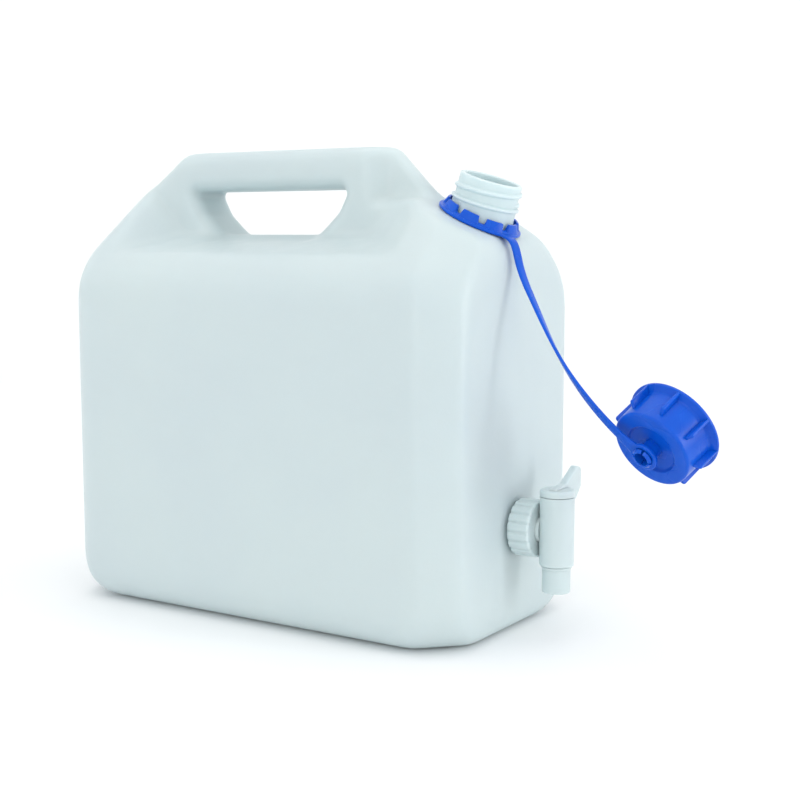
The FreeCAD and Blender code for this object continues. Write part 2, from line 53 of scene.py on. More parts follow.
# ---- sizes, the same as the CAD model's -------------------------------------------------
# the can
END_X = 152.0               # half its length
SIDE_Y = 85.0               # half its thickness
TOP_Z = 299.5               # top of the handle
WALL = 1.8
CORNER_LEG_X = 22.0         # legs of the cut across each upright corner
CORNER_LEG_Y = 18.0
CORNER_RADIUS = 10.0
BASE_RADIUS = 22.0          # foot of the long sides
END_BASE_RADIUS = 12.0      # foot of the end walls
CORNER_BASE_RADIUS = 28.0
LEFT_CORNER_Z = 221.5       # the corners at -x fall away inwards from here
LEFT_CORNER_RISE = 1.08     # height gained for each millimetre inwards
LEFT_CORNER_RADIUS = 50.0
RIGHT_CORNER_Z = 215.0      # and the corners at +x from here
RIGHT_CORNER_RISE = 1.25
RIGHT_CORNER_RADIUS = 45.0
BASE_RECESS = 2.0           # depth of the two panels in the base
PANEL_MARGIN = 34.0         # from the can's sides to the panels
PANEL_BAND = 15.0           # half the flat band between the panels
SHOULDER_Z = 217.0          # the long sides turn inwards here
SHOULDER_RADIUS = 24.0
HIP_Z = 260.0               # the slope at -x meets the end wall here
HIP_RADIUS = 30.0
LEDGE_X = 93.3              # the slope at +x meets the neck's seat here
LEDGE_RADIUS = 12.0
NOSE_RADIUS = 20.0          # where the neck's seat meets the end wall
WEB_HALF = 20.0             # half the thickness of the handle's web
WEB_FILLET = 12.0
WEB_FOOT_Z = 226.0          # the web starts inside the body
RIDGE_HALF = 8.0            # the web thins to this towards the neck
HANDLE_LEFT = -98.0         # ends of the handle's flat top
HANDLE_RIGHT = 64.5
HANDLE_DROP = 50.0          # the slope at +x falls this far
ROOF_Z = 243.5              # the web stands on the roof here
ROOF_FALL = 0.22            # slope of the roof beside the web
VALLEY_LEFT = -92.0         # the roof's ends beside the web; they fan out towards the sides
VALLEY_RIGHT = 50.0
VALLEY_FAR_LEFT = -132.0
VALLEY_FAR_RIGHT = 142.0
BANK_RUN = 0.8              # the valleys' ends lean back by this much for each millimetre up

# the neck
SEAT = Vector((123.7, 0.0, 253.0))      # middle of the flat seat round the neck
SEAT_TILT = math.radians(25.0)
NECK_FOOT = Vector((124.3, 0.0, 253.5))
NECK_TILT = math.radians(18.0)
NECK_HEIGHT = 26.0
NECK_RADIUS = 19.2
NECK_BORE = 16.5
THREAD_PITCH = 6.35
THREAD_TURNS = 1.4
THREAD_TOP = 3.2            # from the neck's lip down to the end of the thread
BEAD_HEIGHT = 11.3          # middle of the bead that keeps the tether ring on

# the tether
RING_BORE = 22.4
RING_RADIUS = 26.6
RING_FLAT = 2.0             # thickness of its flat flange
RING_CLEAR = 0.3            # above the seat
COLLAR_HEIGHT = 7.0
TOOTH_COUNT = 9
TETHER_BEARING = math.radians(-18.0)    # where the strap leaves the ring
STRAP_HALF = 3.0            # half the strap's width
STRAP_ROUTE = [(157, -11, 229), (169, -15.5, 206.5), (191, -21.5, 172.5), (214.5, -24.5, 146)]
EYELET_RADIUS = 8.6
EYELET_BORE = 6.0
EYELET_HEIGHT = 6.4         # above the cap's face

# the cap
CAP_FACE = Vector((246.0, -19.0, 124.5))
CAP_NORMAL = Vector((-0.262, -0.824, -0.498)).normalized()
CAP_RADIUS = 24.6
CAP_HEIGHT = 24.0
CAP_WALL = 2.4
CAP_FLANGE = 29.4
CAP_FIN_COUNT = 8
CAP_FIN_PHASE = -1.0
CAP_FIN_THICK = 2.2
CAP_PANEL_RADIUS = 14.6     # sunk middle of the face
CAP_PANEL_DEPTH = 2.2
CAP_TOP_WALL = 2.4
STUD_HEIGHT = 9.6
STUD_RADIUS = 5.6
STUD_BORE = 4.2
STUD_SLIT_DEPTH = 5.0

# the tap
TAP_X = 179.0               # upright axis of the barrel
TAP_Z = 67.0                # level axis of the inlet
SPIGOT_RADIUS = 13.0        # the can's own spigot
SPIGOT_BORE = 9.0
SPIGOT_END = 161.2
GASKET_THICK = 2.0
INLET_RADIUS = 8.0
INLET_BORE = 5.2
FLANGE_RADIUS = 12.6
FLANGE_THICK = 2.7
NUT_RADIUS = 17.6
NUT_START = 154.0
NUT_END = 168.1
NUT_WALL = 2.1
NUT_CLEAR = 0.2
FLUTE_COUNT = 18
BARREL_RADIUS = 10.5
BARREL_LOW = 46.0
BARREL_HIGH = 88.0
PLUG_RADIUS = 8.6
PLUG_CLEAR = 0.1
PLUG_BORE = 6.4
HEAD_CLEAR = 0.3            # from the barrel's top to the plug's head
OUTLET_LOW = 29.5
PADDLE_THICK = 5.2
PADDLE_REACH = 28.0
PADDLE_DROP = 5.0           # the paddle hangs this far below its own head

# ---- view -------------------------------------------------------------------------------
CAMERA_TURN = math.radians(32.76)
CAMERA_DOWN = math.radians(6.79)


# ---- mesh helpers -----------------------------------------------------------------------
def smoothstep(low, high, value):
    share = np.clip((value - low) / (high - low), 0.0, 1.0)
    return share * share * (3 - 2 * share)


def rounded(corners, steps=6, closed=True):
    """Points of an outline from (a, b, radius) corners, with each corner turned by an arc."""
    count = len(corners)
    points = []
    for index, (a, b, radius) in enumerate(corners):
        here = np.array((a, b), float)
        at_end = not closed and index in (0, count - 1)
        if radius <= 0 or at_end:
            points.append(here)
            continue
        before = np.array(corners[index - 1][:2], float) - here
        after = np.array(corners[(index + 1) % count][:2], float) - here
        before /= np.linalg.norm(before)
        after /= np.linalg.norm(after)
        half = math.acos(np.clip(before @ after, -1, 1)) / 2
        middle = (before + after) / np.linalg.norm(before + after)
        centre = here + middle * (radius / math.sin(half))
        start = here + before * (radius / math.tan(half)) - centre
        finish = here + after * (radius / math.tan(half)) - centre
        first = math.atan2(start[1], start[0])
        turn = math.atan2(finish[1], finish[0]) - first
        turn = (turn + math.pi) % (2 * math.pi) - math.pi
        for step in range(steps + 1):
            angle = first + turn * step / steps
            points.append(centre + radius * np.array((math.cos(angle), math.sin(angle))))
    return np.array(points)


def with_supports(points, reach=0.35, closed=False):
    """Add a point near each end of every long run, so that its flat shading stays flat."""
    result = []
    count = len(points)
    runs = count if closed else count - 1
    for index in range(runs):
        here = points[index]
        there = points[(index + 1) % count]
        length = np.linalg.norm(there - here)
        result.append(here)
        if length > 4 * reach:
            result.append(here + (there - here) * reach / length)
            result.append(there - (there - here) * reach / length)
    if not closed:
        result.append(points[-1])
    return np.array(result)


def make_object(name, points, faces, material, sharp=None):
    """A mesh object from points in millimetres, with its normals facing outwards."""
    mesh = bpy.data.meshes.new(name)
    mesh.from_pydata([tuple(p) for p in np.asarray(points, float) * MM], [],
                     [tuple(int(i) for i in f) for f in faces])
    work = bmesh.new()
    work.from_mesh(mesh)
    bmesh.ops.remove_doubles(work, verts=work.verts, dist=1e-7)
    bmesh.ops.recalc_face_normals(work, faces=work.faces)
    work.to_mesh(mesh)
    work.free()
    mesh.shade_smooth()
    if sharp:
        mesh.set_sharp_from_angle(angle=math.radians(sharp))
    mesh.materials.append(material)
    obj = bpy.data.objects.new(name, mesh)
    bpy.context.scene.collection.objects.link(obj)
    return obj


def grid_faces(rows, columns, wrap_rows=False, wrap_columns=True):
    """Quads of a grid of points that is stored row after row."""
    faces = []
    for row in range(rows if wrap_rows else rows - 1):
        above = (row + 1) % rows
        for column in range(columns if wrap_columns else columns - 1):
            beside = (column + 1) % columns
            faces.append((row * columns + column, row * columns + beside,
                          above * columns + beside, above * columns + column))
    return faces


def place(points, foot, turn):
    """Points in a piece's own frame, carried to where the piece is."""
    matrix = np.array(turn.to_matrix())
    return np.asarray(points) @ matrix.T + np.array(foot)


def lean(angle):
    """A turn that tips +Z towards +X."""
    return Quaternion((0, 1, 0), angle)


def lathe(outline, columns=96, change=None, closed=True):
    """Turn an (r, z) outline about the z axis. change(angle, r, z) may return new r and z."""
    angles = np.arange(columns) * 2 * math.pi / columns
    points = []
    for r, z in outline:
        radius = np.full(columns, float(r))
        height = np.full(columns, float(z))
        if change:
            radius, height = change(angles, radius, height)
        points.append(np.stack([radius * np.cos(angles), radius * np.sin(angles), height], 1))
    faces = grid_faces(len(outline), columns, wrap_rows=closed)
    return np.concatenate(points), faces


def plate(outline, thick, bevel):
    """A flat plate: the (a, b) outline is thickened along the third axis and its rims rounded."""
    work = bmesh.new()
    base = [work.verts.new((a, b, -thick / 2)) for a, b in outline]
    face = work.faces.new(base)
    raised = bmesh.ops.extrude_face_region(work, geom=[face])
    lifted = [v for v in raised["geom"] if isinstance(v, bmesh.types.BMVert)]
    bmesh.ops.translate(work, verts=lifted, vec=(0, 0, thick))
    bmesh.ops.recalc_face_normals(work, faces=work.faces)
    rims = [e for e in work.edges
            if abs(e.verts[0].co.z - e.verts[1].co.z) < 1e-9]
    bmesh.ops.bevel(work, geom=rims, offset=bevel, segments=3, affect="EDGES",
                    profile=0.5, clamp_overlap=True)
    points = np.array([v.co[:] for v in work.verts])
    faces = [[v.index for v in f.verts] for f in work.faces]
    work.free()
    return points, faces


def merged(*parts):
    """Several (points, faces) pairs as one."""
    points, faces, start = [], [], 0
    for some_points, some_faces in parts:
        points.append(np.asarray(some_points, float))
        faces.extend([[i + start for i in face] for face in some_faces])
        start += len(some_points)
    return np.concatenate(points), faces


# ---- materials --------------------------------------------------------------------------
class Nodes:
    """Builds one procedural material on a Principled shader."""

    def __init__(self, name):
        self.material = bpy.data.materials.new(name)
        self.material.use_nodes = True
        self.tree = self.material.node_tree
        self.shader = self.tree.nodes["Principled BSDF"]
        self.where = self.tree.nodes.new("ShaderNodeTexCoord").outputs["Object"]

    def link(self, source, target):
        self.tree.links.new(source, target)

    def stretched(self, scale):
        node = self.tree.nodes.new("ShaderNodeMapping")
        node.inputs["Scale"].default_value = scale
        self.link(self.where, node.inputs["Vector"])
        return node.outputs["Vector"]

    def noise(self, scale, detail=3.0, rough=0.5, source=None):
        """Noise with scale features to the metre."""
        node = self.tree.nodes.new("ShaderNodeTexNoise")
        node.inputs["Scale"].default_value = scale
        node.inputs["Detail"].default_value = detail
        node.inputs["Roughness"].default_value = rough
        self.link(source or self.where, node.inputs["Vector"])
        return node.outputs["Fac"]

    def spread(self, source, low, high):
        """The middle of a noise, where nearly all of it lies, spread from low to high."""
        node = self.tree.nodes.new("ShaderNodeMapRange")
        for key, value in (("From Min", 0.3), ("From Max", 0.7),
                           ("To Min", low), ("To Max", high)):
            node.inputs[key].default_value = value
        self.link(source, node.inputs["Value"])
        return node.outputs["Result"]

    def ramp(self, source, stops):
        """Colours at (position, colour) stops along the source's value."""
        node = self.tree.nodes.new("ShaderNodeValToRGB")
        ramp = node.color_ramp
        while len(ramp.elements) < len(stops):
            ramp.elements.new(0.5)
        for element, (position, colour) in zip(ramp.elements, stops):
            element.position = position
            element.color = (*colour, 1.0)
        self.link(source, node.inputs["Fac"])
        return node.outputs["Color"]

    def bump(self, source, distance, strength=1.0, below=None):
        node = self.tree.nodes.new("ShaderNodeBump")
        node.inputs["Distance"].default_value = distance
        node.inputs["Strength"].default_value = strength
        self.link(source, node.inputs["Height"])
        if below:
            self.link(below, node.inputs["Normal"])
        return node.outputs["Normal"]

    def finish(self, colour, roughness, normal, **values):
        """Join up the shader; values go to its sockets, with _ for the spaces in their names."""
        self.link(colour, self.shader.inputs["Base Color"])
        self.link(roughness, self.shader.inputs["Roughness"])
        self.link(normal, self.shader.inputs["Normal"])
        for key, value in values.items():
            self.shader.inputs[key.replace("_", " ")].default_value = value
        return self.material


def natural_hdpe():
    """Milky unpigmented polyethylene, blown: cloudy, faintly streaked, softly glossy."""
    m = Nodes("natural_hdpe")
    cloud = m.noise(9.0, 4.0)
    colour = m.ramp(cloud, [(0.30, (0.534, 0.632, 0.662)), (0.52, (0.548, 0.650, 0.670)),
                            (0.72, (0.560, 0.664, 0.676))])
    streaks = m.noise(60.0, 3.0, 0.6, m.stretched((1.0, 1.0, 0.12)))
    roughness = m.spread(streaks, 0.34, 0.46)
    waves = m.bump(m.noise(18.0, 2.0, 0.4), 0.004, 0.35)
    skin = m.bump(m.noise(420.0, 2.0), 0.0001, 0.4, below=waves)
    return m.finish(colour, roughness, skin, Subsurface_Weight=0.65, Subsurface_Scale=0.006,
                    Subsurface_Radius=(1.0, 1.1, 1.15), IOR=1.54, Specular_IOR_Level=0.45)


def tap_plastic():
    """The tap's clearer, glossier polyethylene."""
    m = Nodes("tap_plastic")
    colour = m.ramp(m.noise(40.0), [(0.3, (0.552, 0.640, 0.648)), (0.7, (0.568, 0.656, 0.662))])
    roughness = m.spread(m.noise(45.0, 1.0), 0.30, 0.36)
    normal = m.bump(m.noise(60.0, 1.0), 0.0004, 0.15)
    return m.finish(colour, roughness, normal, Subsurface_Weight=0.6, Subsurface_Scale=0.003,
                    Subsurface_Radius=(1.0, 1.1, 1.1), IOR=1.52)


def blue_plastic():
    """Bright blue injection-moulded polyethylene with a soft gloss."""
    m = Nodes("blue_plastic")
    colour = m.ramp(m.noise(55.0), [(0.3, (0.001, 0.076, 0.520)), (0.7, (0.002, 0.092, 0.580))])
    roughness = m.spread(m.noise(50.0, 1.0), 0.24, 0.32)
    normal = m.bump(m.noise(120.0, 2.0), 0.0003, 0.25)
    return m.finish(colour, roughness, normal, Subsurface_Weight=0.25, Subsurface_Scale=0.0015,
                    Subsurface_Radius=(0.3, 0.6, 1.0), IOR=1.5, Specular_IOR_Level=0.22)


def seal_foam():
    """White closed-cell foam."""
    m = Nodes("seal_foam")
    cells = m.noise(1500.0, 4.0, 0.7)
    colour = m.ramp(cells, [(0.3, (0.66, 0.66, 0.64)), (0.7, (0.83, 0.83, 0.81))])
    return m.finish(colour, m.spread(cells, 0.75, 0.95), m.bump(cells, 0.0004, 0.8))


def gasket_rubber():
    """Dark rubber with a fine matt grain."""
    m = Nodes("gasket_rubber")
    grain = m.noise(1200.0, 3.0, 0.6)
    colour = m.ramp(grain, [(0.3, (0.018, 0.018, 0.019)), (0.7, (0.035, 0.035, 0.037))])
    return m.finish(colour, m.spread(grain, 0.55, 0.75), m.bump(grain, 0.0002, 0.6))


# ---- the blown shell --------------------------------------------------------------------
def outline_distance(points, a, b):
    """Signed distance, negative inside, of the (a, b) grid from a closed outline."""
    nearest = np.full(np.broadcast(a, b).shape, 1e18)
    inside = np.zeros(nearest.shape, bool)
    for (x0, y0), (x1, y1) in zip(points, np.roll(points, -1, axis=0)):
        dx, dy = x1 - x0, y1 - y0
        square = dx * dx + dy * dy
        if square < 1e-12:
            continue
        along = np.clip(((a - x0) * dx + (b - y0) * dy) / square, 0, 1)
        gap = (a - x0 - along * dx) ** 2 + (b - y0 - along * dy) ** 2
        nearest = np.minimum(nearest, gap)
        crosses = (y0 > b) != (y1 > b)
        if dy != 0:
            inside ^= crosses & (a < x0 + (b - y0) * dx / dy)
    return np.where(inside, -1, 1) * np.sqrt(nearest)


def soften(field, spread):
    """Gaussian blur of a field: flat faces stay where they are and edges turn into fillets."""
    reach = int(math.ceil(3 * spread))
    weights = np.exp(-0.5 * (np.arange(-reach, reach + 1) / spread) ** 2)
    weights /= weights.sum()
    for axis in range(3):
        width = [(reach, reach) if k == axis else (0, 0) for k in range(3)]
        padded = np.pad(field, width, mode="edge")
        total = np.zeros_like(field)
        for index, weight in enumerate(weights):
            cut = [slice(None)] * 3
            cut[axis] = slice(index, index + field.shape[axis])
            total += weight * padded[tuple(cut)]
        field = total
    return field


def side_outline():
    """The body from the side, (x, z), with the seat that slopes under the neck."""
    fall = math.tan(SEAT_TILT)
    return rounded([
        (-END_X, 0, END_BASE_RADIUS), (END_X, 0, END_BASE_RADIUS),
        (END_X, SEAT.z - fall * (END_X - SEAT.x), NOSE_RADIUS),
        (LEDGE_X, SEAT.z + fall * (SEAT.x - LEDGE_X), LEDGE_RADIUS),
        (40, 262, 0), (-62, 262, 0), (-78, TOP_Z, 0), (-95, TOP_Z, 10),
        (-END_X, HIP_Z, HIP_RADIUS)])


def end_outline():
    """The can from its end, (y, z)."""
    half = [(SIDE_Y, 0, BASE_RADIUS), (SIDE_Y, SHOULDER_Z, SHOULDER_RADIUS),
            (WEB_HALF, SHOULDER_Z + SIDE_Y - WEB_HALF, WEB_FILLET), (WEB_HALF, TOP_Z, 7)]
    mirrored = [(-y, z, radius) for y, z, radius in reversed(half)]
    return rounded(mirrored[-1:] + half + mirrored[:-1])


def plan_outline(inset=0.0):
    """The body from above, (x, y), with its upright corners cut."""
    x, y = END_X - inset, SIDE_Y - inset
    flat_x, flat_y = x - CORNER_LEG_X + inset * 0.6, y - CORNER_LEG_Y + inset * 0.6
    corners = [(-flat_x, -y), (flat_x, -y), (x, -flat_y), (x, flat_y),
               (flat_x, y), (-flat_x, y), (-x, flat_y), (-x, -flat_y)]
    return rounded([(*corner, CORNER_RADIUS) for corner in corners])


def corner_outline():
    """The can seen along a diagonal: wide curves at the foot and the top of each corner."""
    reach = (END_X + SIDE_Y - (CORNER_LEG_X + CORNER_LEG_Y) / 2) / math.sqrt(2)
    run = 80
    return rounded([
        (-reach, 0, CORNER_BASE_RADIUS), (reach, 0, CORNER_BASE_RADIUS),
        (reach, RIGHT_CORNER_Z, RIGHT_CORNER_RADIUS),
        (reach - run, RIGHT_CORNER_Z + run * RIGHT_CORNER_RISE, 0),
        (run - reach, LEFT_CORNER_Z + run * LEFT_CORNER_RISE, 0),
        (-reach, LEFT_CORNER_Z, LEFT_CORNER_RADIUS)])


def web_outline():
    """The handle's web from the side, (x, z)."""
    slope_foot = HANDLE_RIGHT + HANDLE_DROP
    return rounded([
        (-81, WEB_FOOT_Z, 0), (slope_foot, WEB_FOOT_Z, 0), (slope_foot, TOP_Z - HANDLE_DROP, 0),
        (HANDLE_RIGHT, TOP_Z, 8), (HANDLE_LEFT, TOP_Z, 9), (HANDLE_LEFT - 25, TOP_Z - 25, 0)])


def web_plan():
    """The web from above, (x, y): it thins to a ridge towards the neck."""
    left, taper, ridge, right = -128, HANDLE_RIGHT - 12, HANDLE_RIGHT, HANDLE_RIGHT + 45
    return rounded([
        (left, -WEB_HALF, 0), (taper, -WEB_HALF, 6), (ridge, -RIDGE_HALF, 3),
        (right, -RIDGE_HALF, 0), (right, RIDGE_HALF, 0), (ridge, RIDGE_HALF, 3),
        (taper, WEB_HALF, 6), (left, WEB_HALF, 0)])


def grip_outline():
    """The grip hole from the side, (x, z), a little narrow to leave its rolled edge room."""
    middle, low, bulge, high = -26.0, 244.5, 259.0, 273.4
    return rounded([
        (middle - 39.3, low, 7), (middle + 39.3, low, 7), (middle + 55.2, bulge, 14),
        (middle + 63.1, high, 3), (middle - 63.1, high, 3), (middle - 55.2, bulge, 14)])


def shell_field(step):
    """Signed distance of the can's outside on a grid, in millimetres."""
    margin = 14.0
    low = np.array((-END_X - margin, -SIDE_Y - margin, -margin))
    high = np.array((END_X + margin, SIDE_Y + margin, TOP_Z + margin))
    x, y, z = (np.arange(low[k], high[k] + step, step) for k in range(3))
    x, y, z = x[:, None, None], y[None, :, None], z[None, None, :]
    beside = np.abs(y)
    ends = outline_distance(end_outline(), y, z)
    form = np.maximum(outline_distance(side_outline(), x, z), ends)
    form = np.maximum(form, outline_distance(plan_outline(), x, y))
    corners = np.maximum(outline_distance(corner_outline(), (x + y) / math.sqrt(2), z),
                         outline_distance(corner_outline(), (x - y) / math.sqrt(2), z))
    form = np.maximum(form, corners)
    # the valleys beside the web; their ends lean back as they rise from the roof
    near, far, above = 16.0, 100.0, TOP_Z + 16.5
    roof = rounded([(WEB_HALF, ROOF_Z, 5), (far, ROOF_Z - ROOF_FALL * (far - WEB_HALF), 0),
                    (far, above, 0), (WEB_HALF, above, 0)])
    fan = rounded([(VALLEY_LEFT, near, 0), (VALLEY_RIGHT, near, 0),
                   (VALLEY_FAR_RIGHT, far, 0), (VALLEY_FAR_LEFT, far, 0)])
    rise = np.maximum(z - ROOF_Z + ROOF_FALL * (beside - WEB_HALF), 0)
    bank = (outline_distance(fan, x, beside) - BANK_RUN * rise) / math.hypot(1, BANK_RUN)
    valley = np.maximum(outline_distance(roof, beside, z), bank)
    form = np.maximum(form, -valley)
    web = np.maximum(outline_distance(web_outline(), x, z), outline_distance(web_plan(), x, y))
    form = np.minimum(form, np.maximum(np.maximum(web, ends), corners))
    blur = 4.0
    form = soften(form.astype(np.float32), blur / step)
    # the broad sides draw in a little as the moulding cools
    draw_in = 0.9
    broad = smoothstep(60, 84, beside) * smoothstep(END_X - 20, 70, np.abs(x))
    form = form + draw_in * broad * smoothstep(15, 100, z) * smoothstep(215, 140, z)
    # grip hole, with its edge rolled over
    roll = 10.0
    hole = -outline_distance(grip_outline(), x, z)
    corner = np.sqrt(np.maximum(form + roll, 0) ** 2 + np.maximum(hole + roll, 0) ** 2)
    form = np.minimum(np.maximum(form, hole), -roll) + corner
    # two panels sunk in the base, with a flat band between them
    panel = np.maximum(outline_distance(plan_outline(PANEL_MARGIN), x, y), z - BASE_RECESS)
    panel = np.maximum(panel, PANEL_BAND - np.abs(x))
    form = np.maximum(form, -panel)
    return form, low


def can_shell(material):
    """The blown shell as one smooth skin with a real wall, open under the neck and the tap."""
    step = 2.0
    field, low = shell_field(step)
    far_outside = 20.0
    grid = openvdb.FloatGrid(far_outside)
    grid.copyFromArray(np.ascontiguousarray(field, np.float32))
    points, quads = grid.convertToQuads(isovalue=0.0)
    points = points * step + low
    mesh = bpy.data.meshes.new("can_shell")
    mesh.from_pydata([tuple(p) for p in points * MM], [],
                     [tuple(int(i) for i in q) for q in quads])
    work = bmesh.new()
    work.from_mesh(mesh)
    bmesh.ops.recalc_face_normals(work, faces=work.faces)
    # openings: centre, axis, radius and reach along the axis, in metres. The faces inside are
    # taken out and the ragged rim that they leave is drawn onto a true circle.
    neck_axis = lean(NECK_TILT) @ Vector((0, 0, 1))
    holes = [(NECK_FOOT * MM, neck_axis, 0.0178, 0.03),
             (Vector((END_X, 0, TAP_Z)) * MM, Vector((1, 0, 0)), 0.011, 0.02)]
    for centre, axis, radius, reach in holes:
        inside = []
        for face in work.faces:
            offset = face.calc_center_median() - centre
            along = offset.dot(axis)
            if abs(along) < reach and (offset - axis * along).length < radius:
                inside.append(face)
        bmesh.ops.delete(work, geom=inside, context="FACES")
        for vertex in work.verts:
            offset = vertex.co - centre
            along = offset.dot(axis)
            across = offset - axis * along
            if vertex.is_boundary and abs(along) < reach and across.length < radius * 1.6:
                vertex.co = centre + axis * along + across.normalized() * radius
    work.to_mesh(mesh)
    work.free()
    mesh.shade_smooth()
    mesh.materials.append(material)
    obj = bpy.data.objects.new("can_shell", mesh)
    bpy.context.scene.collection.objects.link(obj)
    wall = obj.modifiers.new("wall", "SOLIDIFY")
    wall.thickness = WALL * MM
    wall.offset = -1
    bpy.context.view_layer.update()
    solid = obj.evaluated_get(bpy.context.evaluated_depsgraph_get())
    finished = bpy.data.meshes.new_from_object(solid)
    obj.modifiers.clear()
    obj.data = finished
    return obj


def can_neck(material):
    """The filler neck: threaded outside, plain inside, with a bead that keeps the ring on."""
    first = NECK_HEIGHT - THREAD_TOP - THREAD_PITCH * THREAD_TURNS
    ridge_height, run_in = 1.45, 0.06

    def thread(angles, radius, height):
        rise = np.zeros(len(angles))
        for turn in range(3):
            along = angles / (2 * math.pi) + turn
            gap = np.abs(height - (first + THREAD_PITCH * along))
            ends = smoothstep(0, run_in, along) \
                * smoothstep(THREAD_TURNS, THREAD_TURNS - run_in, along)
            rise = np.maximum(rise, (1 - smoothstep(0.5, 1.8, gap)) * ends)
        on_outside = (radius > NECK_RADIUS - 0.9) & (height < NECK_HEIGHT - 0.9)
        return radius + np.where(on_outside, ridge_height * rise, 0), height

    root, bead = NECK_RADIUS + 0.7, NECK_RADIUS + 1.9
    outside = rounded([
        (root, -6, 0), (root, BEAD_HEIGHT - 1.4, 0.8), (bead, BEAD_HEIGHT - 0.7, 0.5),
        (bead, BEAD_HEIGHT + 0.5, 0.5), (NECK_RADIUS, BEAD_HEIGHT + 1.4, 0.6)], closed=False)
    climb = [(NECK_RADIUS, z) for z in np.arange(BEAD_HEIGHT + 1.4, NECK_HEIGHT - 1.0, 0.35)]
    lip = rounded([
        (NECK_RADIUS, NECK_HEIGHT - 1.0, 0), (NECK_RADIUS, NECK_HEIGHT, 0.8),
        (NECK_BORE, NECK_HEIGHT, 0.8), (NECK_BORE, NECK_HEIGHT - 1.0, 0)], closed=False)
    bore = [(NECK_BORE, z) for z in np.linspace(NECK_HEIGHT - 1.5, -4, 12)]
    outline = np.concatenate([outside, climb, lip, bore])
    points, faces = lathe(outline, 160, thread)
    return make_object("can_neck", place(points, NECK_FOOT, lean(NECK_TILT)), faces, material, 50)


def tap_spigot(material):
    """The can's own short tube that carries the tap."""
    root = END_X - 3.0
    outline = with_supports(rounded([
        (SPIGOT_BORE, root, 0), (SPIGOT_RADIUS, root, 0), (SPIGOT_RADIUS, SPIGOT_END, 0.4),
        (SPIGOT_BORE, SPIGOT_END, 0.4)]))
    points, faces = lathe(outline, 72)
    return make_object("tap_spigot", place(points, (0, 0, TAP_Z), lean(math.pi / 2)), faces,
                       material, 50)


# ---- the tether -------------------------------------------------------------------------
def tether_ring(material):
    """Flat flange with a toothed collar round the neck."""
    low = RING_CLEAR
    flat, top = low + RING_FLAT, low + COLLAR_HEIGHT
    outline = with_supports(rounded([
        (RING_BORE, low, 0.2), (RING_RADIUS, low, 0.7), (RING_RADIUS, flat, 0.7),
        (25.0, flat, 0.4), (23.0, top, 0.5), (21.4, top, 0.3),
        (RING_BORE, flat + 1.0, 0)]), 0.3, closed=True)
    pitch = 2 * math.pi / TOOTH_COUNT
    collar_radius, notch_floor = 22.5, 3.5

    def teeth(angles, radius, height):
        turned = (angles - TETHER_BEARING + pitch / 2) % pitch - pitch / 2
        tooth = smoothstep(1.9, 2.6, np.abs(turned) * collar_radius)
        above = np.maximum(height - notch_floor, 0)
        return radius, np.minimum(height, notch_floor) + above * tooth

    points, faces = lathe(outline, 384, teeth)
    return make_object("tether_ring_detail", place(points, SEAT, lean(SEAT_TILT)), faces,
                       material, 60)


def spline(knots, first_slope, last_slope, steps=16):
    """Points of a smooth curve through the knots, with steps of them from knot to knot."""
    lengths = np.linalg.norm(np.diff(knots, axis=0), axis=1)
    count = len(knots)
    system = np.zeros((count, count))
    right = np.zeros((count, 3))
    system[0, 0] = system[-1, -1] = 1
    right[0], right[-1] = first_slope, last_slope
    for k in range(1, count - 1):
        a, b = lengths[k - 1], lengths[k]
        system[k, k - 1], system[k, k], system[k, k + 1] = b, 2 * (a + b), a
        right[k] = 3 * (b * (knots[k] - knots[k - 1]) / a + a * (knots[k + 1] - knots[k]) / b)
    slopes = np.linalg.solve(system, right)
    line = []
    for k in range(count - 1):
        for share in np.linspace(0, 1, steps, endpoint=k == count - 2):
            s2, s3 = share * share, share ** 3
            line.append((2 * s3 - 3 * s2 + 1) * knots[k] + (3 * s2 - 2 * s3) * knots[k + 1]
                        + lengths[k] * ((s3 - 2 * s2 + share) * slopes[k]
                                        + (s3 - s2) * slopes[k + 1]))
    return np.array(line)


